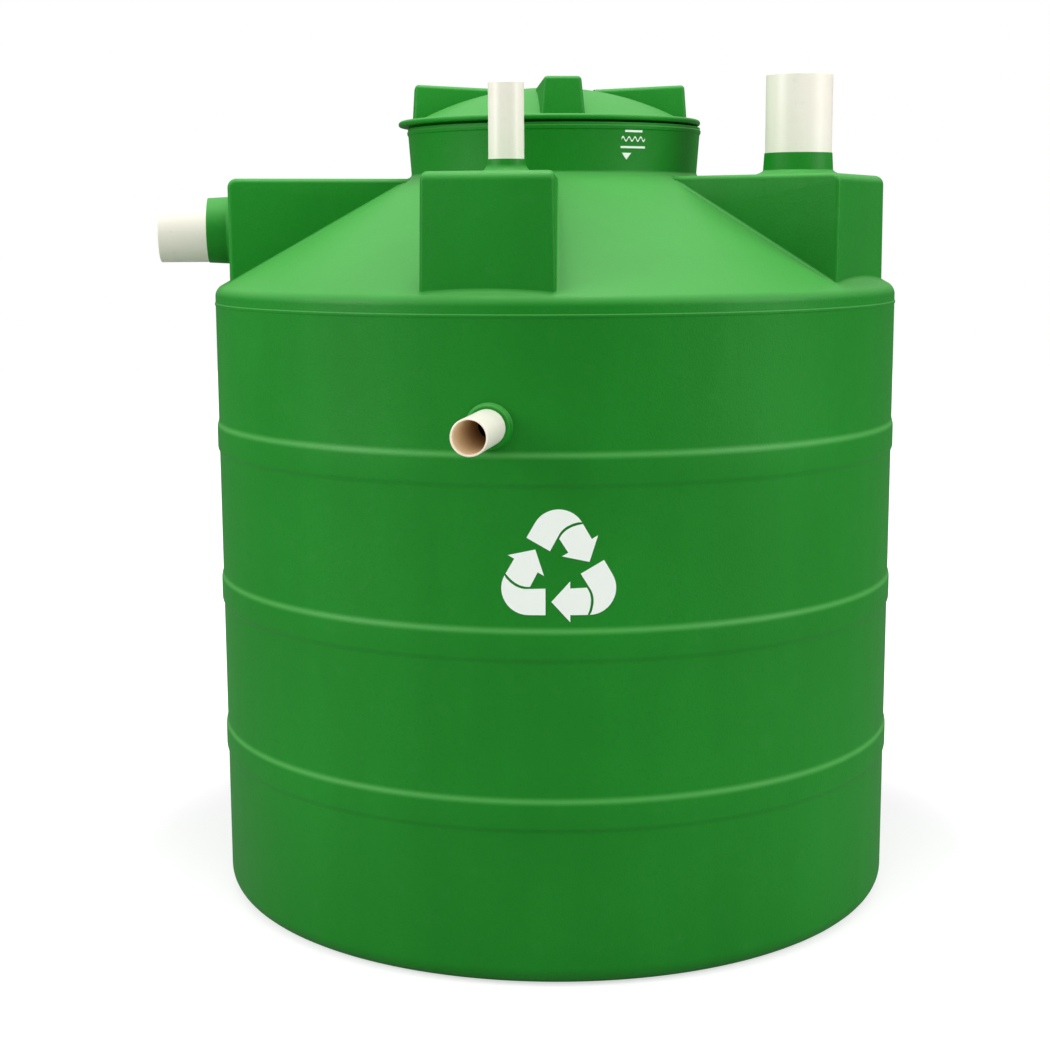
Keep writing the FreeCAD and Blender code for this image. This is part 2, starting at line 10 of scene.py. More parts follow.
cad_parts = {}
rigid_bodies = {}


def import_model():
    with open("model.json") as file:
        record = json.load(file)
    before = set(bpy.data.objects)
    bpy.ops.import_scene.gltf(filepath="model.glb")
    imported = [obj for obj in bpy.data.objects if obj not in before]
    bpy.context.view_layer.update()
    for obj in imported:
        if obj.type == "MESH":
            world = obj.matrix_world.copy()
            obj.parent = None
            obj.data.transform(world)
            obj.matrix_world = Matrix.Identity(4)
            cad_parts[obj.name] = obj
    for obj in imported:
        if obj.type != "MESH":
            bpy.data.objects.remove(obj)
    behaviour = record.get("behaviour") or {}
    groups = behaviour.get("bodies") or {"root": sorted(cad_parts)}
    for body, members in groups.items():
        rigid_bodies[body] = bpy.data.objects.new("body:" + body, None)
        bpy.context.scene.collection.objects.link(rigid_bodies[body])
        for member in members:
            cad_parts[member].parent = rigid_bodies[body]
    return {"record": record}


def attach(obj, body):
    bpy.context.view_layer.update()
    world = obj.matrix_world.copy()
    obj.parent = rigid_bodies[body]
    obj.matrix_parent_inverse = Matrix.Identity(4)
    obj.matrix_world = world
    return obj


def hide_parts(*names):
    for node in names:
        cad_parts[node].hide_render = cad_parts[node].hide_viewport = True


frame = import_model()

bl_info = {
    "name": "Biodigester Tank",
    "version": (1, 0, 0),
    "blender": (4, 5, 0),
    "location": "3D View > Sidebar > Tank",
    "description": "Moulded shell, turrets, lid, pipe ends, marks and studio of a biodigester tank",
    "category": "Add Mesh",
}

# Lengths are in metres. Azimuths are in degrees from the front, anticlockwise as seen from above.
UPRIGHT = Vector((0, 0, 1))
INLET, VENT, ACCESS, OUTLET, SLUDGE = -85, -10, 63.7, 170, -9.4
PIPE_STEP = 0.0012  # how much narrower a pipe is in its seat
INSIDE_LEVEL = 1.0  # inside the tank, where turrets end before they are cut
LARGE_ROUND, SMALL_ROUND = 256, 96  # steps of a full turn
DEGREES_PER_STEP = 9
WELD = 1e-6
SHELL_SHARP, PIECE_SHARP = 50, 32  # angle in degrees from which an edge stays hard
DUST, GRIME, WORN_MARK = (0.3, 0.42, 0.3), (0.42, 0.36, 0.26), (0.5, 0.66, 0.5)
MARK_LIFT, MARK_THICK = 0.0001, 0.0006
CYCLE_AZIMUTH, CYCLE_LEVEL = 0.6, 0.6655
GAUGE_AZIMUTH, GAUGE_LEVEL, GAUGE_PART = 31, 1.3217, 0.66  # the last is its place in the neck's height
CAMERA_SPOT = (0, -3.359, 1.182)
CAMERA_TURN = (0.0160759, 0.160121, -0.0045)  # yaw, pitch and roll, in radians
FOCAL_PIXELS, PICTURE_PIXELS, SENSOR_WIDTH = 1857.54, 1050, 36


# ---- sizes and colours

def amount(name, description, default, **settings):
    return FloatProperty(name=name, description=description, default=default, min=0, **settings)


def length(name, description, default):
    return amount(name, description, default, subtype="DISTANCE", unit="LENGTH", precision=4)


def watts(name, description, default):
    return amount(name, description, default, subtype="POWER", unit="POWER")


def angle(name, description, degrees):
    return FloatProperty(name=name, description=description, default=math.radians(degrees),
                         subtype="ANGLE", unit="ROTATION")


def colour(name, description, default):
    return FloatVectorProperty(name=name, description=description, default=default, size=3,
                               min=0, max=1, subtype="COLOR")


class TankShellSizes(bpy.types.PropertyGroup):
    wall_radius: length("Wall radius", "Outside of the plain wall", 0.6)
    skin: length("Skin", "Thickness of the moulded shell", 0.006)
    floor_corner: length("Floor corner", "Rounding between floor and wall", 0.033)
    corner_flat: length("Corner flat", "Flat floor inside the rounding", 0.017)
    band_proud: length("Band relief", "How far a band stands out", 0.003)
    band_width: length("Band width", "Height of a band, ramps included", 0.053)
    band_ramp: length("Band ramp", "Height of a band's sloping edges", 0.007)
    band_soft: length("Band softness", "Rounding of a band's lower corners", 0.012)
    brow_soft: length("Brow softness", "Rounding of a band's upper corners", 0.024)
    band_brow: length("Band brow", "Extra height of the upper sloping edge", 0.0022)
    band_level: length("First band", "Middle of the lowest band", 0.2795)
    band_pitch: length("Band pitch", "From one band to the next", 0.269)
    seam_level: length("Parting line", "Height of the mould's parting line", 1.0485)
    seam_width: length("Parting bead", "Height of the bead on that line", 0.003)
    seam_proud: length("Bead relief", "How far that bead stands out", 0.0012)
    shoulder_level: length("Shoulder", "Height of its corner before rounding", 1.074)
    shoulder_round: length("Shoulder rounding", "Radius of the shoulder", 0.02)
    roof_slope: angle("Roof slope", "The roof cone's angle from level", 29.1)
    neck_radius: length("Neck radius", "Outside of the neck at its foot", 0.252)
    neck_flare: length("Neck flare", "How much wider the neck is at its top", 0.006)
    neck_tall: length("Neck height", "From the roof to the neck's top edge", 0.081)
    neck_foot: length("Neck foot", "Hollow rounding between roof and neck", 0.006)
    bead_proud: length("Neck bead relief", "How far the neck's top bead stands out", 0.0015)
    bead_width: length("Neck bead", "Height of the neck's top bead", 0.008)
    bead_drop: length("Neck bead drop", "From the neck's top edge down to its bead", 0.004)


class TankTurretSizes(bpy.types.PropertyGroup):
    top: length("Turret top", "Height of the turrets' flat tops", 1.262)
    draft: angle("Side taper", "How much each side turns towards the axis", 9)
    flare: amount("Flare", "How much a turret widens per metre downwards", 0.018)
    corner: length("Side corner", "Rounding of a turret's side edges", 0.008)
    brow: length("Outer top edge", "Rounding between top and outer face", 0.015)
    wide_width: length("Wide turret", "Width of the outer face, large pipe", 0.246)
    wide_reach: length("Wide reach", "From the axis to that face", 0.566)
    narrow_width: length("Narrow turret", "Width of the outer face, small pipe", 0.205)
    narrow_reach: length("Narrow reach", "From the axis to that face", 0.58)
    foot_tall: length("Foot height", "How high the foot climbs the turret", 0.006)
    foot_wide: length("Foot width", "How far it runs over the roof", 0.006)
    large_pipe: length("Large pipe", "Outside radius of the large pipes", 0.055)
    small_pipe: length("Small pipe", "Outside radius of the small pipes", 0.028)
    collar_foot: length("Collar foot", "Thickness of a collar at its foot", 0.0035)


class TankLidSizes(bpy.types.PropertyGroup):
    shift: length("Lid shift", "How far the lid lies towards the inlet", 0.008)
    gap: length("Lid gap", "Between the neck's top edge and the lid", 0.0003)
    rim_radius: length("Rim radius", "Outside of the lid's rim", 0.266)
    rim_thick: length("Rim height", "Height of the lid's rim", 0.013)
    rim_round: length("Rim rounding", "Rounding of its outer edges", 0.005)
    lip_lift: length("Lip lift", "From the neck's edge up to the lip", 0.0035)
    lip_reach: length("Lip reach", "How far the lifted lip runs in", 0.021)
    skin: length("Lid skin", "Thickness of dome and skirt", 0.005)
    dome_radius: length("Dome radius", "Outside of the dome at its foot", 0.234)
    dome_rise: length("Dome height", "Height of the dome over the rim", 0.058)
    skirt_deep: length("Skirt depth", "How far the skirt hangs into the neck", 0.038)
    skirt_clearance: length("Skirt clearance", "Least gap between skirt and neck", 0.005)
    lug_reach: length("Grip reach", "From the lid's axis to its outer foot", 0.2405)
    lug_inner: length("Grip inner end", "From the lid's axis to its inner end", 0.0775)
    lug_lean: length("Grip lean", "How much its outer end leans in", 0.004)
    lug_foot: length("Grip foot", "Width of a grip at the rim", 0.074)
    lug_top: length("Grip top", "Width of a grip at its top", 0.062)
    lug_high: length("Grip height", "Height of its outer end over the rim", 0.062)
    lug_fall: length("Grip fall", "How much lower its inner end is", 0.008)
    lug_round: length("Grip rounding", "Rounding of a grip's edges", 0.0065)
    lug_turn: angle("Grip direction", "Direction of the front grip", 5.6)


class TankColours(bpy.types.PropertyGroup):
    green: colour("Shell green", "Moulded polyethylene of the tank", (0.0030, 0.178, 0.0075))
    green_light: colour("Light green", "Paler patches of the moulding", (0.0050, 0.203, 0.0105))
    green_dark: colour("Dark green", "Deeper patches of the moulding", (0.003, 0.138, 0.006))
    pipe: colour("Pipe", "Off-white pipe", (0.80, 0.765, 0.675))
    pipe_stain: colour("Pipe stain", "Warm stain on pipe ends", (0.70, 0.58, 0.40))
    pipe_inside: colour("Pipe inside", "Lining near a pipe's mouth", (0.93, 0.78, 0.56))
    # painted shade: the darker lining colour used deeper inside a pipe
    pipe_deep_shade: colour("Pipe depth", "Darker lining deep in a pipe", (0.62, 0.38, 0.14))
    # painted top light and sheen: this paler, whiter green is mixed into the shell where it faces up, in
    # the share set below, standing in for the overhead light
    green_painted_sheen: colour("Faded green", "Where the moulding faces up", (0.115, 0.43, 0.105))
    painted_sheen_share: amount("Fading", "Share of the faded green", 0.47, max=1)
    mark: colour("Mark", "White marks on the shell", (0.82, 0.88, 0.82))
    floor: colour("Floor", "Studio floor in front", (0.5, 0.5, 0.5))
    floor_back: colour("Back floor", "Studio floor behind the tank", (0.28, 0.28, 0.28))


class TankStudio(bpy.types.PropertyGroup):
    top_light: watts("Top light", "Power of the soft light above", 48)
    left_light: watts("Left light", "Power of the soft light at the left", 82)
    right_light: watts("Right light", "Power of the soft light at the right", 76)
    sky: amount("Sky", "Strength of the light near the horizon", 0.54)
    zenith: amount("Zenith", "Strength of the light from above", 1.03)
    back_sky: amount("Back sky", "Share of the low light left behind the tank", 0.35, max=1)
    floor_glow: amount("Floor glow", "Lift that shows the floor as white", 0.62)
    floor_half: length("Floor half width", "From its middle to its edge", 12)


# ---- shader helpers

class Signal:
    """A node's output that takes part in Python sums."""

    def __init__(self, finish, socket):
        self.finish = finish
        self.socket = socket

    def worked(self, operation, *terms):
        return self.finish.node("ShaderNodeMath", {"operation": operation}, dict(enumerate(terms)))

    def __add__(self, other):
        return self.worked("ADD", self, other)

    def __radd__(self, other):
        return self.worked("ADD", other, self)

    def __sub__(self, other):
        return self.worked("SUBTRACT", self, other)

    def __rsub__(self, other):
        return self.worked("SUBTRACT", other, self)

    def __mul__(self, other):
        return self.worked("MULTIPLY", self, other)

    def __rmul__(self, other):
        return self.worked("MULTIPLY", other, self)

    def __pow__(self, other):
        return self.worked("POWER", self, other)

    def clipped(self):
        return self.worked("MINIMUM", self.worked("MAXIMUM", self, 0.0), 1.0)


class Finish:
    """A material in the making."""

    def __init__(self, name):
        if name in bpy.data.materials:
            raise ValueError(f"a material named {name} is there already")
        self.material = bpy.data.materials.new(name)
        self.material.use_nodes = True
        self.tree = self.material.node_tree
        self.tree.nodes.clear()

    @classmethod
    def of(cls, world):
        """The same tools for the world's own nodes."""
        made = cls.__new__(cls)
        made.material = world
        made.tree = world.node_tree
        made.tree.nodes.clear()
        return made

    def node(self, kind, settings=None, inputs=None, output=0):
        """Add a node, set it up, fill or link its sockets and give back one output."""
        made = self.tree.nodes.new(kind)
        for key, setting in (settings or {}).items():
            setattr(made, key, setting)
        for key, given in (inputs or {}).items():
            if isinstance(given, Signal):
                self.tree.links.new(given.socket, made.inputs[key])
            else:
                made.inputs[key].default_value = given
        return Signal(self, made.outputs[output])

    def place(self):
        return self.node("ShaderNodeTexCoord", output="Object")

    def axis(self, place, name):
        """One coordinate of a place or direction."""
        return self.node("ShaderNodeSeparateXYZ", None, {"Vector": place}, output=name)

    def noise(self, place, scale, detail=2.0, roughness=0.5):
        return self.node("ShaderNodeTexNoise", None,
                         {"Vector": place, "Scale": scale, "Detail": detail, "Roughness": roughness})

    def ramp(self, value, low, high):
        """Stretch a value so that low becomes 0 and high 1, smoothly."""
        return self.node("ShaderNodeMapRange", {"interpolation_type": "SMOOTHSTEP"},
                         {"Value": value, "From Min": low, "From Max": high})

    def blend(self, factor, first, second):
        """Mix two colours."""
        shades = {key: given if isinstance(given, Signal) else (*given, 1)
                  for key, given in ((6, first), (7, second))}
        return self.node("ShaderNodeMix", {"data_type": "RGBA"}, {0: factor, **shades}, output=2)

    def bump(self, height, distance, strength=1.0, after=None):
        inputs = {"Height": height, "Distance": distance, "Strength": strength}
        if after is not None:
            inputs["Normal"] = after
        return self.node("ShaderNodeBump", None, inputs)

    def shaded(self, **sockets):
        """Close the material with a Principled shader."""
        surface = self.node("ShaderNodeBsdfPrincipled", None, sockets)
        self.close(surface)
        return self.material

    def close(self, surface, ending="ShaderNodeOutputMaterial"):
        self.tree.links.new(surface.socket, self.tree.nodes.new(ending).inputs["Surface"])


def stretched(finish, place, scale):
    return finish.node("ShaderNodeMapping", None, {"Vector": place, "Scale": scale})


def moulded_green(name, colours, lift):
    """Satin polyethylene: mottling, faint streaks, orange-peel skin, with painted top light and sheen
    where it faces up and painted highlights on the band ledges.
    """
    finish = Finish(name)
    place = finish.place()
    clouds = finish.noise(place, 2.6, 4.0, 0.55)
    streaks = finish.noise(stretched(finish, place, (9, 9, 1.3)), 1.0, 3.0, 0.55)
    specks = finish.noise(place, 210.0, 2.0)
    mottling = finish.ramp(clouds * 0.6 + streaks * 0.4, 0.36, 0.66)
    body = finish.blend(mottling, colours.green, colours.green_light)
    body = finish.blend(finish.ramp(specks, 0.5, 0.78) * 0.35, body, colours.green_dark)
    dust = finish.ramp(finish.noise(place, 34.0, 5.0, 0.7), 0.52, 0.8) * lift
    body = finish.blend(dust, body, DUST)
    facing = finish.axis(finish.node("ShaderNodeNewGeometry", output="Normal"), "Z")
    above_bands = finish.ramp(finish.axis(place, "Z"), 0.86, 0.88)
    # painted highlight: the up-facing ledges of the bands below the shoulder get extra paler green
    painted_ledge_highlight = 0.8 * finish.ramp(facing, 0.05, 0.34) * (1 - above_bands)
    # painted top light and sheen: paler green mixed in by how far the surface faces up
    painted_top_light = (finish.ramp(facing, 0.03, 0.92) + painted_ledge_highlight) * (0.85 + 0.3 * clouds)
    body = finish.blend((painted_top_light * colours.painted_sheen_share).clipped(), body, colours.green_painted_sheen)
    peel = finish.noise(place, 330.0, 2.0, 0.6)
    dents = finish.noise(place, 7.0, 2.0)
    normal = finish.bump(dents, 0.02, 0.08)
    normal = finish.bump(peel, 0.0011, 0.26, normal)
    return finish.shaded(**{"Base Color": body, "Roughness": 0.36 + 0.2 * clouds + 0.08 * specks,
                            "Normal": normal, "Specular IOR Level": 0.2})


def pipe_plastic(name, colours, pipe_matrix, radius, end):
    """Off-white pipe in its own frame: brown inside with painted shade deeper in and a faint painted
    glow, with draw lines and stains.
    """
    finish = Finish(name)
    place = finish.place()
    turn = pipe_matrix.inverted()
    along = finish.node("ShaderNodeMapping", None, {
        "Vector": place, "Location": turn.to_translation(), "Rotation": turn.to_euler()})
    across, up, out = (finish.axis(along, name) for name in "XYZ")
    away = (across * across + up * up) ** 0.5
    inside = 1 - finish.ramp(away, radius - 0.0021, radius - 0.0013)
    depth = finish.ramp(end - out, 0.0, 0.2)
    near_end = 1 - finish.ramp(end - out, 0.0, 0.03)
    stain = finish.ramp(finish.noise(place, 9.0, 5.0, 0.6), 0.48, 0.8)
    body = finish.blend(stain * 0.14 + near_end * stain * 0.2, colours.pipe, colours.pipe_stain)
    grime = finish.ramp(finish.noise(place, 70.0, 4.0, 0.65), 0.56, 0.74)
    body = finish.blend(grime * 0.10, body, GRIME)
    # painted shade mixed with real stain: the lining turns darker from the mouth inwards by depth
    lining = finish.blend((depth + stain * 0.35).clipped(), colours.pipe_inside, colours.pipe_deep_shade)
    body = finish.blend(inside, body, lining)
    drawn = finish.noise(stretched(finish, along, (260, 260, 6)), 1.0, 2.0)
    normal = finish.bump(drawn, 0.0004, 0.25)
    # painted light: a faint emission in the lining near the mouth stands in for light reaching inside
    # the pipe
    glow = finish.blend(inside * (0.1 - 0.09 * depth), (0, 0, 0), lining)
    return finish.shaded(**{"Base Color": body, "Roughness": 0.3 + 0.16 * stain + 0.1 * drawn,
                            "Normal": normal, "Emission Color": glow, "Emission Strength": 1.0})


def mark_paint(name, colours):
    """White mark moulded into the shell, a little worn."""
    finish = Finish(name)
    place = finish.place()
    wear = finish.ramp(finish.noise(place, 55.0, 5.0, 0.7), 0.62, 0.8)
    body = finish.blend(wear * 0.4, colours.mark, WORN_MARK)
    normal = finish.bump(finish.noise(place, 330.0, 2.0), 0.0006, 0.35)
    return finish.shaded(**{"Base Color": body, "Roughness": 0.45 + 0.2 * wear, "Normal": normal})


# ---- mesh helpers

def smoothed(mesh, sharp):
    """Shade a mesh smooth and keep its hard edges."""
    mesh.shade_smooth()
    mesh.set_sharp_from_angle(angle=math.radians(sharp))


def shown(bm, name, material=None, sharp=PIECE_SHARP):
    """Turn a bmesh into a smooth object with the named material."""
    mesh = bpy.data.meshes.new(name)
    bm.to_mesh(mesh)
    bm.free()
    smoothed(mesh, sharp)
    piece = bpy.data.objects.new(name, mesh)
    bpy.context.scene.collection.objects.link(piece)
    if material:
        mesh.materials.append(bpy.data.materials[material])
    return piece


def rounded(bm, geom, offset, segments, affect="EDGES"):
    bmesh.ops.bevel(bm, geom=geom, offset=offset, segments=segments, profile=0.5, affect=affect,
                    material=-1)


def moved(bm, matrix):
    bmesh.ops.transform(bm, matrix=matrix, verts=bm.verts[:])


def new_ones(made, kind):
    """The vertices or edges among what an operator made."""
    return [item for item in made["geom"] if isinstance(item, kind)]


def wedge(corner_place):
    """Block whose corners a function places by half width, distance and level."""
    bm = bmesh.new()
    bmesh.ops.create_cube(bm, size=1)
    for corner in bm.verts:
        side, away, level = corner_place(corner.co.y < 0, corner.co.z > 0)
        corner.co = Vector((math.copysign(side, corner.co.x), -away, level))
    return bm


def wire(bm, corners, closed=True):
    """Lay a wire through corners given as (across, up, rounding) and round each corner."""
    points = [Vector((across, 0, up)) for across, up, _ in corners]
    knots = [bm.verts.new(point) for point in points]
    loop = zip(knots, knots[1:] + knots[:1]) if closed else zip(knots, knots[1:])
    for pair in loop:
        bm.edges.new(pair)
    for place, (knot, (_, _, radius)) in enumerate(zip(knots, corners)):
        if radius <= 0:
            continue
        here = points[place]
        before = points[place - 1] - here
        after = points[(place + 1) % len(points)] - here
        inside = before.angle(after)
        reach = radius / math.tan(inside / 2)
        steps = max(3, round(math.degrees(math.pi - inside) / DEGREES_PER_STEP))
        rounded(bm, [knot], reach, steps, "VERTICES")


def turned(bm, steps=LARGE_ROUND):
    """Turn the wire about the upright axis into a closed round body."""
    bmesh.ops.spin(bm, geom=bm.verts[:] + bm.edges[:], cent=(0, 0, 0), axis=UPRIGHT, angle=math.tau,
                   steps=steps, use_merge=True)
    bmesh.ops.remove_doubles(bm, verts=bm.verts[:], dist=WELD)
    bmesh.ops.recalc_face_normals(bm, faces=bm.faces[:])


def heading(azimuth):
    """Turn from the front to an azimuth, in degrees."""
    return Matrix.Rotation(math.radians(azimuth), 4, "Z")


def outward(azimuth, reach, level):
    """Frame whose Z points out of the wall at an azimuth."""
    lay_down = Matrix.Rotation(math.radians(90), 4, "X")
    return heading(azimuth) @ Matrix.Translation((0, -reach, level)) @ lay_down


def carved(piece, cutters, sharp=PIECE_SHARP):
    """Cut shapes out of a piece, let go of them and smooth what is left."""
    for cutter in cutters:
        cut = piece.modifiers.new("cut", "BOOLEAN")
        cut.operation = "DIFFERENCE"
        cut.solver = "EXACT"
        cut.object = cutter
    graph = bpy.context.evaluated_depsgraph_get()
    mesh = bpy.data.meshes.new_from_object(piece.evaluated_get(graph))
    piece.modifiers.clear()
    piece.data = mesh
    for cutter in cutters:
        bpy.data.objects.remove(cutter)
    smoothed(mesh, sharp)


def roof_top(sizes):
    """Level where the roof meets the neck."""
    return sizes.shoulder_level + (sizes.wall_radius - sizes.neck_radius) * math.tan(sizes.roof_slope)


def cone_height(sizes, radius):
    """Height of the roof's outside at a radius, the rounded shoulder included."""
    slope = sizes.roof_slope
    on_cone = sizes.shoulder_level + (sizes.wall_radius - radius) * math.tan(slope)
    centre_r = sizes.wall_radius - sizes.shoulder_round
    centre_z = (sizes.shoulder_level + sizes.shoulder_round * math.tan(slope)
                - sizes.shoulder_round / math.cos(slope))
    if radius < centre_r + sizes.shoulder_round * math.sin(slope):
        return on_cone
    across = min(radius - centre_r, sizes.shoulder_round)
    return centre_z + math.sqrt(max(sizes.shoulder_round ** 2 - across ** 2, 0))


# ---- shell

def band_corners(sizes, radius, way):
    """Corners of the three bands at a radius, upwards (1) or downwards (-1)."""
    rows = []
    for count in range(3):
        middle = sizes.band_level + sizes.band_pitch * count
        half = sizes.band_width / 2
        rows += [(radius, middle - half, sizes.band_soft),
                 (radius + sizes.band_proud, middle - half + sizes.band_ramp, sizes.band_soft),
                 (radius + sizes.band_proud, middle + half - sizes.band_ramp, sizes.brow_soft),
                 (radius, middle + half + sizes.band_brow, sizes.brow_soft)]
    return rows[::way]


def shell_section(sizes):
    """Closed section of the shell: up the outside, over the roof and neck, down the inside."""
    r, skin, slope = sizes.wall_radius, sizes.skin, sizes.roof_slope
    rise = math.tan(slope)
    drop = skin / math.cos(slope)
    foot = roof_top(sizes)
    top = foot + sizes.neck_tall
    bore = sizes.neck_radius - skin
    half = sizes.seam_width / 2
    floor_edge = r - sizes.floor_corner - sizes.corner_flat
    seam, seam_crest = sizes.seam_level, r + sizes.seam_proud
    seam_foot_round, seam_round, bead_round, edge_round = 0.0008, 0.0012, 0.0015, 0.001
    rows = [(floor_edge, 0, 0), (r, 0, sizes.floor_corner)]
    rows += band_corners(sizes, r, 1)
    rows += [(r, seam - half * 2, seam_foot_round), (seam_crest, seam - half, seam_round),
             (seam_crest, seam + half, seam_round), (r, seam + half * 2, seam_foot_round),
             (r, sizes.shoulder_level, sizes.shoulder_round)]
    margin = 0.02
    for part in range(1, 8):
        across = r - margin + (sizes.neck_radius - r + margin * 2) * part / 8
        rows.append((across, sizes.shoulder_level + (r - across) * rise, 0))
    rows.append((sizes.neck_radius, foot, sizes.neck_foot))

    def neck_at(level):
        return sizes.neck_radius + sizes.neck_flare * (level - foot) / sizes.neck_tall

    bead_low, bead_top = top - sizes.bead_drop - sizes.bead_width, top - sizes.bead_drop
    rows += [(neck_at(bead_low), bead_low, bead_round),
             (neck_at(bead_low) + sizes.bead_proud, bead_low + bead_round, bead_round),
             (neck_at(bead_top) + sizes.bead_proud, bead_top - bead_round, bead_round),
             (neck_at(bead_top), bead_top, seam_round), (neck_at(top), top, edge_round),
             (bore, top, edge_round)]
    inner_corner = sizes.shoulder_level + skin * rise - drop
    for part in range(0, 8):
        across = bore + (r - skin - bore) * part / 8
        rows.append((across, sizes.shoulder_level + (r - across) * rise - drop, 0))
    rows.append((r - skin, inner_corner, sizes.shoulder_round - skin))
    rows += band_corners(sizes, r - skin, -1)
    rows += [(r - skin, skin, sizes.floor_corner - skin), (floor_edge, skin, 0)]
    return rows


def hollow_cutter(sizes, turret, width, reach, azimuth, outer, inner):
    """The hollow of a turret between two distances from the axis."""
    taper = math.tan(turret.draft)
    half = width / 2 - sizes.skin * taper - sizes.skin / math.cos(turret.draft)

    def corner_place(is_outer, is_high):
        away = outer if is_outer else inner
        return (half - (reach - sizes.skin - away) * taper, away,
                turret.top - sizes.skin if is_high else INSIDE_LEVEL)

    bm = wedge(corner_place)
    moved(bm, heading(azimuth))
    return shown(bm, "hollow")


def bored(frame_of_hole, radius):
    """Round cutter for a pipe's hole."""
    bm = bmesh.new()
    bmesh.ops.create_cone(bm, cap_ends=True, segments=64, radius1=radius, radius2=radius, depth=0.05,
                          matrix=frame_of_hole)
    return shown(bm, "hole")


TURRETS = {
    "inlet": ("wide", INLET), "vent": ("narrow", VENT), "access": ("wide", ACCESS),
    "outlet": ("narrow", OUTLET),
}


def turret_sizes(turret, size):
    """Width and reach of a turret's outer face."""
    return getattr(turret, f"{size}_width"), getattr(turret, f"{size}_reach")


class TANK_OT_shell(bpy.types.Operator):
    """Mould the banded wall, the rounded shoulder, the roof cone and the neck as one skin"""
    bl_idname = "tank.shell"
    bl_label = "Moulded shell"

    def execute(self, context):
        sizes, turret = context.scene.tank_shell, context.scene.tank_turret
        bm = bmesh.new()
        wire(bm, shell_section(sizes))
        turned(bm)
        shell = shown(bm, "moulded_shell", "moulded_green", SHELL_SHARP)
        margin = 0.05
        cutters = [hollow_cutter(sizes, turret, *turret_sizes(turret, size), azimuth,
                                 sizes.wall_radius - margin, sizes.neck_radius + margin)
                   for size, azimuth in TURRETS.values()]
        cutters.append(bored(pipe_frame("sludge"), turret.small_pipe - PIPE_STEP))
        carved(shell, cutters, SHELL_SHARP)
        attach(shell, "tank")
        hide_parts("floor_rim", "lower_wall", "middle_wall", "upper_wall", "sludge_panel",
                    "parting_bead", "shoulder",
                    "roof_crown", "roof_front_right", "roof_back_right", "roof_back_left",
                    "roof_front_left", "neck", "neck_bead")
        return {"FINISHED"}


# ---- turrets and collars

# The pipe, and how far the collar's foot runs over the turret and up the collar.
COLLAR_FEET = {
    "inlet": ("large_pipe", 0.012, 0.010), "vent": ("small_pipe", 0.012, 0.0125),
    "access": ("large_pipe", 0.023, 0.008), "outlet": ("small_pipe", 0.008, 0.007),
}
# Azimuth, distance from the tank's axis, level, whether the pipe lies, and how far it stands out.
PIPE_PLACES = {
    "inlet": (INLET, 0.566, 1.175, True, 0.128), "vent": (VENT, 0.425, 1.262, False, 0.138),
    "access": (ACCESS, 0.454, 1.262, False, 0.163), "outlet": (OUTLET, 0.58, 1.15, True, 0.107),
    "sludge": (SLUDGE, 0.6, 0.884, True, 0.145),
}


def pipe_frame(name):
    """Frame on a turret or the wall whose Z runs out along the pipe."""
    azimuth, reach, level, lying, _ = PIPE_PLACES[name]
    if lying:
        return outward(azimuth, reach, level)
    return heading(azimuth) @ Matrix.Translation((0, -reach, level))


def turret_block(turret, width, reach, inner):
    """Solid block of a turret that points to the front, its edges rounded."""
    taper = math.tan(turret.draft)
    widening = turret.flare * (turret.top - INSIDE_LEVEL)
    near = 0.001

    def corner_place(is_outer, is_high):
        away = reach if is_outer else inner
        side = width / 2 - (reach - away) * taper
        return (side, away, turret.top) if is_high else (side + widening, away, INSIDE_LEVEL)

    bm = wedge(corner_place)
    brow = [edge for edge in bm.edges
            if all(end.co.z > turret.top - near and end.co.y < near - reach for end in edge.verts)]
    rounded(bm, brow, turret.brow, 8)
    bm.normal_update()

    def is_side(face):
        return abs(face.normal.x) > 0.9

    def is_shown(face):
        return face.normal.y < 0.5 and face.normal.z > -0.5

    rims = [edge for edge in bm.edges
            if is_side(edge.link_faces[0]) != is_side(edge.link_faces[1])
            and all(map(is_shown, edge.link_faces))]
    rounded(bm, rims, turret.corner, 6)
    return bm


def roof_core(sizes):
    """Everything under the outside of the roof and inside the neck."""
    r, neck, foot = sizes.wall_radius, sizes.neck_radius, roof_top(sizes)
    bottom, top = INSIDE_LEVEL - 0.1, foot + 0.05
    bm = bmesh.new()
    wire(bm, [(0, bottom, 0), (r, bottom, 0), (r, sizes.shoulder_level, sizes.shoulder_round),
              (neck, foot, 0), (neck, top, 0), (0, top, 0)], closed=False)
    turned(bm)
    return shown(bm, "roof_core")


class TANK_OT_turrets(bpy.types.Operator):
    """Mould the four hollow turrets with soft edges, open towards the tank"""
    bl_idname = "tank.turrets"
    bl_label = "Turrets"

    def execute(self, context):
        sizes, turret = context.scene.tank_shell, context.scene.tank_turret
        bore = sizes.neck_radius - sizes.skin
        for name, (size, azimuth) in TURRETS.items():
            width, reach = turret_sizes(turret, size)
            bm = turret_block(turret, width, reach, bore)
            moved(bm, heading(azimuth))
            block = shown(bm, f"{name}_turret_moulding", "moulded_green")
            pipe = turret.large_pipe if size == "wide" else turret.small_pipe
            hollow = hollow_cutter(sizes, turret, width, reach, azimuth, reach - sizes.skin,
                                   bore - 0.01)
            carved(block, [roof_core(sizes), hollow, bored(pipe_frame(name), pipe - PIPE_STEP)])
            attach(block, "tank")
            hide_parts(f"{name}_turret")
        return {"FINISHED"}


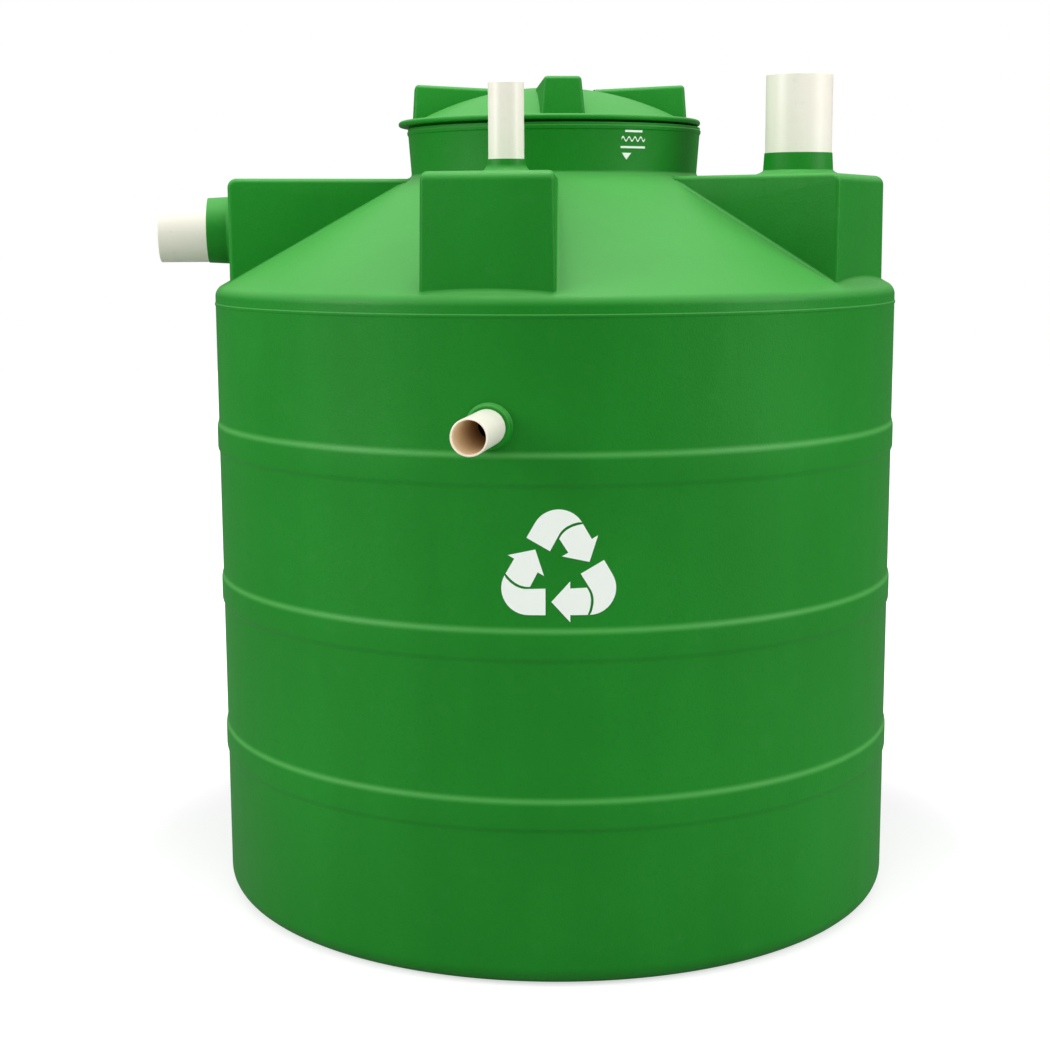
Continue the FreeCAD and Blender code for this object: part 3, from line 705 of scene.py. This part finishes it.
class TANK_OT_boss(bpy.types.Operator):
    """Turn the soft ring that holds the sludge pipe in the wall"""
    bl_idname = "tank.boss"
    bl_label = "Sludge pipe ring"

    def execute(self, context):
        turret = context.scene.tank_turret
        inner = turret.small_pipe - PIPE_STEP
        outer, foot = turret.small_pipe + 0.0068, turret.small_pipe + 0.009
        back, reach = -0.0055, 0.014
        bm = bmesh.new()
        wire(bm, [(inner, back, 0), (foot, back, 0), (foot, -0.0008, 0.001),
                  (outer, 0.002, 0.002), (outer, reach, 0.0045), (inner, reach, 0.0006)])
        turned(bm, SMALL_ROUND)
        moved(bm, pipe_frame("sludge"))
        ring = shown(bm, "sludge_ring", "moulded_green", SHELL_SHARP)
        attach(ring, "tank")
        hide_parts("sludge_boss")
        return {"FINISHED"}


# ---- lid

def lid_levels(sizes, lid):
    """Level of the lid's seat and of its rim's top."""
    seat = roof_top(sizes) + sizes.neck_tall + lid.gap
    return seat, seat + lid.rim_thick


def dome_arc(lid, rim_top, inset, start, end, steps=22):
    """Points of the dome's ball between two radii."""
    ball = (lid.dome_radius ** 2 + lid.dome_rise ** 2) / (lid.dome_rise * 2)
    middle = rim_top + lid.dome_rise - ball
    radii = [start + (end - start) * step / steps for step in range(steps + 1)]
    return [(radius, middle + math.sqrt((ball - inset) ** 2 - radius ** 2), 0) for radius in radii]


class TANK_OT_lid(bpy.types.Operator):
    """Turn the lid's dome, rolled rim and skirt as one moulding"""
    bl_idname = "tank.lid"
    bl_label = "Lid"

    def execute(self, context):
        sizes, lid = context.scene.tank_shell, context.scene.tank_lid
        seat, rim_top = lid_levels(sizes, lid)
        skirt = sizes.neck_radius - sizes.skin - lid.shift - lid.skirt_clearance
        under, low = seat + lid.lip_lift, seat - lid.skirt_deep
        rim, lip = lid.rim_radius, lid.rim_radius - lid.lip_reach
        edge_round, skirt_round = 0.001, 0.0015
        bm = bmesh.new()
        wire(bm, dome_arc(lid, rim_top, 0, 0, lid.dome_radius - 0.006)
             + [(lid.dome_radius, rim_top + 0.0004, 0.008), (rim - 0.012, rim_top - 0.0002, 0.01),
                (rim, rim_top, lid.rim_round), (rim, under, lid.rim_round * 0.8),
                (lip, under, edge_round), (lip - 0.002, seat, 0.0006), (skirt, seat, edge_round),
                (skirt, low, skirt_round), (skirt - lid.skin, low, skirt_round),
                (skirt - lid.skin, seat, 0)]
             + dome_arc(lid, rim_top, lid.skin, skirt - lid.skin, 0), closed=False)
        turned(bm)
        bmesh.ops.translate(bm, vec=(-lid.shift, 0, 0), verts=bm.verts[:])
        cover = shown(bm, "moulded_lid", "moulded_lid_green", 40)
        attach(cover, "lid")
        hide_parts("lid_rim", "lid_skirt", "lid_dome")
        return {"FINISHED"}


def dome_core(sizes, lid):
    """Everything under the dome's outside."""
    _, rim_top = lid_levels(sizes, lid)
    bottom = rim_top - 0.02
    bm = bmesh.new()
    wire(bm, dome_arc(lid, rim_top, 0, 0, lid.dome_radius)
         + [(lid.dome_radius, bottom, 0), (0, bottom, 0)], closed=False)
    turned(bm)
    bmesh.ops.translate(bm, vec=(-lid.shift, 0, 0), verts=bm.verts[:])
    return shown(bm, "dome_core")


class TANK_OT_lugs(bpy.types.Operator):
    """Mould the lid's four grips with soft edges, seated on the dome"""
    bl_idname = "tank.lugs"
    bl_label = "Lid grips"

    def execute(self, context):
        sizes, lid = context.scene.tank_shell, context.scene.tank_lid
        _, rim_top = lid_levels(sizes, lid)
        near = 0.01

        def corner_place(is_outer, is_high):
            half = (lid.lug_top if is_high else lid.lug_foot) / 2
            away = lid.lug_reach - (lid.lug_lean if is_high else 0) if is_outer else lid.lug_inner
            high = lid.lug_high - (0 if is_outer else lid.lug_fall)
            return half, away, rim_top + (high if is_high else 0)

        def is_outer(end):
            return end.co.y < near - lid.lug_reach

        def is_high(end):
            return end.co.z > rim_top + near

        def is_along(edge):
            return abs(sum(end.co.x for end in edge.verts)) > near

        for quarter, side in enumerate(("front", "right", "back", "left")):
            bm = wedge(corner_place)
            soft = [edge for edge in bm.edges
                    if any(map(is_outer, edge.verts)) and any(map(is_high, edge.verts))
                    or all(map(is_high, edge.verts)) and is_along(edge)]
            rounded(bm, soft, lid.lug_round, 6)
            direction = heading(math.degrees(lid.lug_turn) + quarter * 90)
            moved(bm, Matrix.Translation((-lid.shift, 0, 0)) @ direction)
            grip = shown(bm, f"lid_grip_{side}", "moulded_lid_green")
            carved(grip, [dome_core(sizes, lid)])
            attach(grip, "lid")
            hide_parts(f"lid_lug_{side}")
        return {"FINISHED"}


# ---- feet of turrets and collars

def turret_outline(bm, sizes, turret, width, reach, inner):
    """Wire round a turret's foot as seen from above, open towards the neck."""
    half = width / 2 + turret.flare * (turret.top - cone_height(sizes, reach))
    narrow = width / 2 - (reach - inner) * math.tan(turret.draft)
    spots = [(-narrow, -inner), (-half, -reach), (half, -reach), (narrow, -inner)]
    knots = [bm.verts.new((x, y, 0)) for x, y in spots]
    for pair in zip(knots, knots[1:]):
        bm.edges.new(pair)
    reach_in = turret.corner / math.tan((math.pi / 2 - turret.draft) / 2)
    for knot in knots[1:3]:
        rounded(bm, [knot], reach_in, 10, "VERTICES")
    long_sides = [edge for edge in bm.edges if edge.calc_length() > turret.corner * 2]
    bmesh.ops.subdivide_edges(bm, edges=long_sides, cuts=23)


def foot_strip(sizes, turret, width, reach, azimuth):
    """Soft hollow rounding between a turret's sides and the roof."""
    inner = sizes.neck_radius + 0.014
    sunk, tucked, steps = 0.002, 0.0004, 8
    bm = bmesh.new()
    turret_outline(bm, sizes, turret, width, reach, inner)
    plan = bm.verts.layers.float_vector.new("plan")
    away = bm.verts.layers.float_vector.new("away")
    middle = Vector((0, -(reach + inner) / 2, 0))
    for vert in bm.verts:
        vert[plan] = vert.co
        lean = Vector((0, 0, 0))
        for edge in vert.link_edges:
            along = (edge.verts[1].co - edge.verts[0].co).normalized()
            side = along.cross(UPRIGHT)
            if side.dot(vert.co - middle) < 0:
                side = -side
            lean += side
        vert[away] = lean.normalized()

    def on_roof(spot):
        return Vector((spot.x, spot.y, cone_height(sizes, spot.length)))

    def placed_at(vert, part):
        spot, side = Vector(vert[plan]), Vector(vert[away])
        room = max(turret.top - turret.corner * 0.6 - cone_height(sizes, spot.length), 0.001)
        tall = min(turret.foot_tall, room * 0.9)
        wide = turret.foot_wide * tall / turret.foot_tall
        corner = on_roof(spot)
        high = corner + UPRIGHT * tall
        out = on_roof(spot + side * wide)
        if part > 1:
            return corner - side * sunk - UPRIGHT * sunk
        curve = high * (1 - part) ** 2 + corner * 2 * part * (1 - part) + out * part ** 2
        return curve - side * tucked * (1 - part) ** 4 - UPRIGHT * tucked * part ** 4

    ring = bm.edges[:]
    for vert in bm.verts[:]:
        vert.co = placed_at(vert, 0)
    for part in [*(step / steps for step in range(1, steps + 1)), 2, 0]:
        made = bmesh.ops.extrude_edge_only(bm, edges=ring)
        fresh = set(new_ones(made, bmesh.types.BMVert))
        for vert in fresh:
            vert.co = placed_at(vert, part)
        ring = [edge for edge in new_ones(made, bmesh.types.BMEdge) if fresh.issuperset(edge.verts)]
    bmesh.ops.remove_doubles(bm, verts=bm.verts[:], dist=WELD)
    bmesh.ops.holes_fill(bm, edges=bm.edges[:], sides=0)
    bmesh.ops.recalc_face_normals(bm, faces=bm.faces[:])
    moved(bm, heading(azimuth))
    return bm


class TANK_OT_turret_feet(bpy.types.Operator):
    """Run a soft foot round each turret where it grows out of the roof"""
    bl_idname = "tank.turret_feet"
    bl_label = "Turret feet"

    def execute(self, context):
        sizes, turret = context.scene.tank_shell, context.scene.tank_turret
        for name, (size, azimuth) in TURRETS.items():
            bm = foot_strip(sizes, turret, *turret_sizes(turret, size), azimuth)
            foot = shown(bm, f"{name}_turret_foot", "moulded_green", SHELL_SHARP)
            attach(foot, "tank")
        return {"FINISHED"}


class TANK_OT_collar_feet(bpy.types.Operator):
    """Flare each pipe collar softly into its turret"""
    bl_idname = "tank.collar_feet"
    bl_label = "Collar feet"

    def execute(self, context):
        turret = context.scene.tank_turret
        for name, (pipe, wide, tall) in COLLAR_FEET.items():
            start = getattr(turret, pipe) + turret.collar_foot
            back, inner, bend = -0.001, start - 0.002, 1.5
            parts = [step / 10 for step in range(11)]
            flare = [(start - 0.0003 + wide * part ** bend, tall * (1 - part) ** bend + 0.00005, 0)
                     for part in parts]
            bm = bmesh.new()
            wire(bm, flare + [(start + wide, back, 0), (inner, back, 0), (inner, tall, 0)])
            turned(bm, SMALL_ROUND)
            moved(bm, pipe_frame(name))
            foot = shown(bm, f"{name}_collar_foot", "moulded_green", SHELL_SHARP)
            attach(foot, "tank")
        return {"FINISHED"}


# ---- marks

def flat_shape(bm, outline):
    """Lay a closed flat face through points (across, up)."""
    return bm.faces.new([bm.verts.new((across, 0, up)) for across, up in outline])


def wrapped(bm, radius, azimuth, level, flare=0.0):
    """Bend a flat drawing round the shell and give it a little thickness."""
    widest_strip = 0.006
    bm.normal_update()
    bmesh.ops.triangulate(bm, faces=bm.faces[:], quad_method="BEAUTY", ngon_method="EAR_CLIP")
    bm.normal_update()
    low = min(vert.co.x for vert in bm.verts)
    high = max(vert.co.x for vert in bm.verts)
    cuts = int((high - low) / widest_strip)
    for count in range(1, cuts):
        bmesh.ops.bisect_plane(bm, geom=bm.verts[:] + bm.edges[:] + bm.faces[:], dist=1e-5,
                               plane_co=(low + (high - low) * count / cuts, 0, 0), plane_no=(1, 0, 0))
    for face in bm.faces:
        if face.normal.y > 0:
            face.normal_flip()
    made = bmesh.ops.extrude_face_region(bm, geom=bm.faces[:])
    outer = set(new_ones(made, bmesh.types.BMVert))
    start = math.radians(azimuth)
    for vert in bm.verts:
        reach = radius + MARK_LIFT + (MARK_THICK if vert in outer else 0) + flare * vert.co.z
        turn = start + vert.co.x / radius
        vert.co = Vector((reach * math.sin(turn), -reach * math.cos(turn), level + vert.co.z))
    bmesh.ops.recalc_face_normals(bm, faces=bm.faces[:])


def arc(centre, radius, start, end, steps=14):
    """Points (across, up) of an arc, its angles in degrees anticlockwise from across."""
    turns = [math.radians(start + (end - start) * step / steps) for step in range(steps + 1)]
    return [(centre[0] + radius * math.cos(turn), centre[1] + radius * math.sin(turn)) for turn in turns]


def folded_arrow():
    """Two outlines of one bent arrow: its tail with the bend, and its head past the fold."""
    half, inner_corner, bend, tail, leg, fold = 0.0205, 0.0535, 0.0410, 0.0262, 0.0290, 0.0042
    barb, tip = 0.0315, 0.0285
    left, right = Vector((-0.866, 0.5)), Vector((0.866, 0.5))
    back, onward = Vector((-0.5, -0.866)), Vector((0.5, -0.866))
    corner = Vector((0, inner_corner))
    slit = [Vector((0.0, -0.002)), Vector((0.0085, 0.0165)), Vector((0.0356, 0.0202))]
    curve = []
    for step in range(13):
        part = step / 12
        curve.append(slit[0] * (1 - part) ** 2 + slit[1] * 2 * part * (1 - part) + slit[2] * part ** 2)
    across = Vector((0.45, -0.89)) * fold
    before = [corner + point - across / 2 for point in curve]
    after = [corner + point + across / 2 for point in curve]
    end_turn = math.degrees(math.atan2(slit[2].y, slit[2].x))
    tail_piece = [corner + back * tail, corner + left * bend + back * tail,
                  *map(Vector, arc(corner, bend, 150, end_turn + 1.5)), *reversed(before)]
    neck = corner + right * half + onward * leg
    head_piece = [*after, *map(Vector, arc(corner, bend, end_turn - 1.5, 30, 4)), neck + right * half,
                  neck + right * barb, neck + onward * tip, neck - right * barb, neck - right * half]
    return tail_piece, head_piece


class TANK_OT_marks(bpy.types.Operator):
    """Put the plain white cycle mark on the wall and the level mark on the neck"""
    bl_idname = "tank.marks"
    bl_label = "White marks"

    def execute(self, context):
        sizes = context.scene.tank_shell
        bm = bmesh.new()
        for turn in (0, -120, -240):
            for outline in folded_arrow():
                flat_shape(bm, [Matrix.Rotation(math.radians(turn), 2) @ point for point in outline])
        wrapped(bm, sizes.wall_radius, CYCLE_AZIMUTH, CYCLE_LEVEL)
        cycle = shown(bm, "cycle_mark", "mark_white")
        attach(cycle, "tank")
        bm = bmesh.new()
        height, stroke, bar = 0.0034, 0.0013, 0.0034
        wave = [(0.00105 * (step - 22), height * math.sin(step * math.tau / 11)) for step in range(45)]
        flat_shape(bm, [(x, z + stroke) for x, z in wave] + [(x, z - stroke) for x, z in reversed(wave)])
        flat_shape(bm, [(-0.0215, -0.0225), (-0.0035, -0.0225), (-0.0125, -0.0335)])
        for row, half in ((0.0110, 0.017), (-0.0150, 0.024)):
            flat_shape(bm, [(-half, row), (half, row), (half, row + bar), (-half, row + bar)])
        wrapped(bm, sizes.neck_radius + sizes.neck_flare * GAUGE_PART, GAUGE_AZIMUTH, GAUGE_LEVEL,
                sizes.neck_flare / sizes.neck_tall)
        level = shown(bm, "level_mark", "mark_white")
        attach(level, "tank")
        return {"FINISHED"}


# ---- finishes and studio

class TANK_OT_finishes(bpy.types.Operator):
    """Make the plastics and give them to the parts"""
    bl_idname = "tank.finishes"
    bl_label = "Plastics"

    def execute(self, context):
        colours, turret = context.scene.tank_colours, context.scene.tank_turret
        finishes = {
            "tank_green": moulded_green("moulded_green", colours, 0.02),
            "lid_green": moulded_green("moulded_lid_green", colours, 0.04),
        }
        mark_paint("mark_white", colours)
        for name, (*_, end) in PIPE_PLACES.items():
            pipe = turret.large_pipe if name in ("inlet", "access") else turret.small_pipe
            finishes[f"{name}_pipe"] = pipe_plastic(f"{name}_pipe_white", colours, pipe_frame(name),
                                                    pipe, end)
        for row in frame["record"]["subparts"]:
            node = bpy.data.objects[row["node"]]
            finish = finishes.get(row["node"]) or finishes[row["material_slot"]]
            if not node.material_slots:
                node.data.materials.append(finish)
            for slot in node.material_slots:
                slot.material = finish
        return {"FINISHED"}


class TANK_OT_studio(bpy.types.Operator):
    """Set up the white floor, the even sky and the soft lamps"""
    bl_idname = "tank.studio"
    bl_label = "Studio"

    def execute(self, context):
        scene, studio, colours = context.scene, context.scene.tank_studio, context.scene.tank_colours
        bm = bmesh.new()
        bmesh.ops.create_grid(bm, x_segments=2, y_segments=2, size=studio.floor_half)
        finish = Finish("studio_floor")
        seen = finish.node("ShaderNodeLightPath", output="Is Camera Ray")
        place = finish.place()
        away = finish.node("ShaderNodeVectorMath", {"operation": "LENGTH"}, {0: place}, output="Value")
        lift = seen * (studio.floor_glow + finish.ramp(away, 0.75, 1.5))
        glow = finish.blend(lift.clipped(), (0, 0, 0), (1, 1, 1))
        behind = finish.ramp(finish.axis(place, "Y"), -0.8, 0.6)
        tone = finish.blend(behind, colours.floor, colours.floor_back)
        finish.shaded(**{"Base Color": tone, "Roughness": 0.9, "Specular IOR Level": 0.1,
                         "Emission Color": glow, "Emission Strength": 1.0})
        floor = shown(bm, "studio_floor", "studio_floor")
        scene.world = bpy.data.worlds.new("studio_sky")
        scene.world.use_nodes = True
        sky = Finish.of(scene.world)
        aim = sky.node("ShaderNodeTexCoord", output="Generated")
        rising = sky.ramp(sky.axis(aim, "Z"), 0.05, 0.85)
        behind = sky.ramp(sky.axis(aim, "Y"), -0.3, 0.7)
        low = studio.sky * (1 - (1 - studio.back_sky) * behind)
        even = sky.node("ShaderNodeBackground", None,
                        {"Color": (1, 1, 1, 1), "Strength": low + (studio.zenith - low) * rising})
        backdrop = sky.node("ShaderNodeBackground", None, {"Color": (1, 1, 1, 1), "Strength": 1.0})
        seen = sky.node("ShaderNodeLightPath", output="Is Camera Ray")
        sky.close(sky.node("ShaderNodeMixShader", None, {0: seen, 1: even, 2: backdrop}),
                  "ShaderNodeOutputWorld")
        for name, power, size, spot, aim_level in (
                ("soft_top", studio.top_light, 1.4, (-0.05, -0.35, 3.9), 1.2),
                ("soft_left", studio.left_light, 2.0, (-3.5, -1.7, 2.3), 0.7),
                ("soft_right", studio.right_light, 2.0, (3.5, -1.5, 2.3), 0.7)):
            lamp = bpy.data.lights.new(name, "AREA")
            lamp.shape = "DISK"
            lamp.size = size
            lamp.energy = power
            hung = bpy.data.objects.new(name, lamp)
            hung.location = spot
            hung.rotation_euler = (Vector((0, 0, aim_level)) - hung.location).to_track_quat(
                "-Z", "Y").to_euler()
            scene.collection.objects.link(hung)
        scene.view_settings.view_transform = "Standard"
        return {"FINISHED"}


class TANK_OT_camera(bpy.types.Operator):
    """Stand the camera where the picture was taken from"""
    bl_idname = "tank.camera"
    bl_label = "Camera"

    def execute(self, context):
        yaw, pitch, roll = CAMERA_TURN
        right = Vector((math.cos(yaw), math.sin(yaw), 0))
        level = Vector((-math.sin(yaw), math.cos(yaw), 0))
        forward = level * math.cos(pitch) - UPRIGHT * math.sin(pitch)
        up = level * math.sin(pitch) + UPRIGHT * math.cos(pitch)
        rolled_right = right * math.cos(roll) + up * math.sin(roll)
        rolled_up = up * math.cos(roll) - right * math.sin(roll)
        lens = bpy.data.cameras.new("front_view")
        lens.sensor_width = SENSOR_WIDTH
        lens.lens = FOCAL_PIXELS / PICTURE_PIXELS * SENSOR_WIDTH
        lens.clip_end = 100
        camera = bpy.data.objects.new("front_view", lens)
        turn = Matrix((rolled_right, rolled_up, -forward)).transposed().to_4x4()
        camera.matrix_world = Matrix.Translation(CAMERA_SPOT) @ turn
        context.scene.collection.objects.link(camera)
        context.scene.camera = camera
        return {"FINISHED"}


# ---- panel and running

STEPS = [TANK_OT_camera, TANK_OT_finishes, TANK_OT_shell, TANK_OT_turrets, TANK_OT_turret_feet,
         TANK_OT_collar_feet, TANK_OT_boss, TANK_OT_lid, TANK_OT_lugs, TANK_OT_marks, TANK_OT_studio]
GROUPS = {"tank_shell": TankShellSizes, "tank_turret": TankTurretSizes, "tank_lid": TankLidSizes,
          "tank_colours": TankColours, "tank_studio": TankStudio}


class TANK_PT_panel(bpy.types.Panel):
    """Steps that dress the tank, and the sizes and colours behind them"""
    bl_idname = "TANK_PT_panel"
    bl_label = "Biodigester tank"
    bl_space_type = "VIEW_3D"
    bl_region_type = "UI"
    bl_category = "Tank"

    def draw(self, context):
        column = self.layout.column(align=True)
        for step in STEPS:
            column.operator(step.bl_idname)
        for group in GROUPS:
            box = self.layout.box()
            held = getattr(context.scene, group)
            for key in held.__annotations__:
                box.prop(held, key)


def register():
    for made in [*GROUPS.values(), *STEPS, TANK_PT_panel]:
        bpy.utils.register_class(made)
    for name, group in GROUPS.items():
        setattr(bpy.types.Scene, name, PointerProperty(type=group))


def unregister():
    for name in GROUPS:
        delattr(bpy.types.Scene, name)
    for made in reversed([*GROUPS.values(), *STEPS, TANK_PT_panel]):
        bpy.utils.unregister_class(made)


def main():
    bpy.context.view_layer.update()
    register()
    for step in STEPS:
        group, name = step.bl_idname.split(".")
        getattr(getattr(bpy.ops, group), name)()


if __name__ == "__main__":
    main()
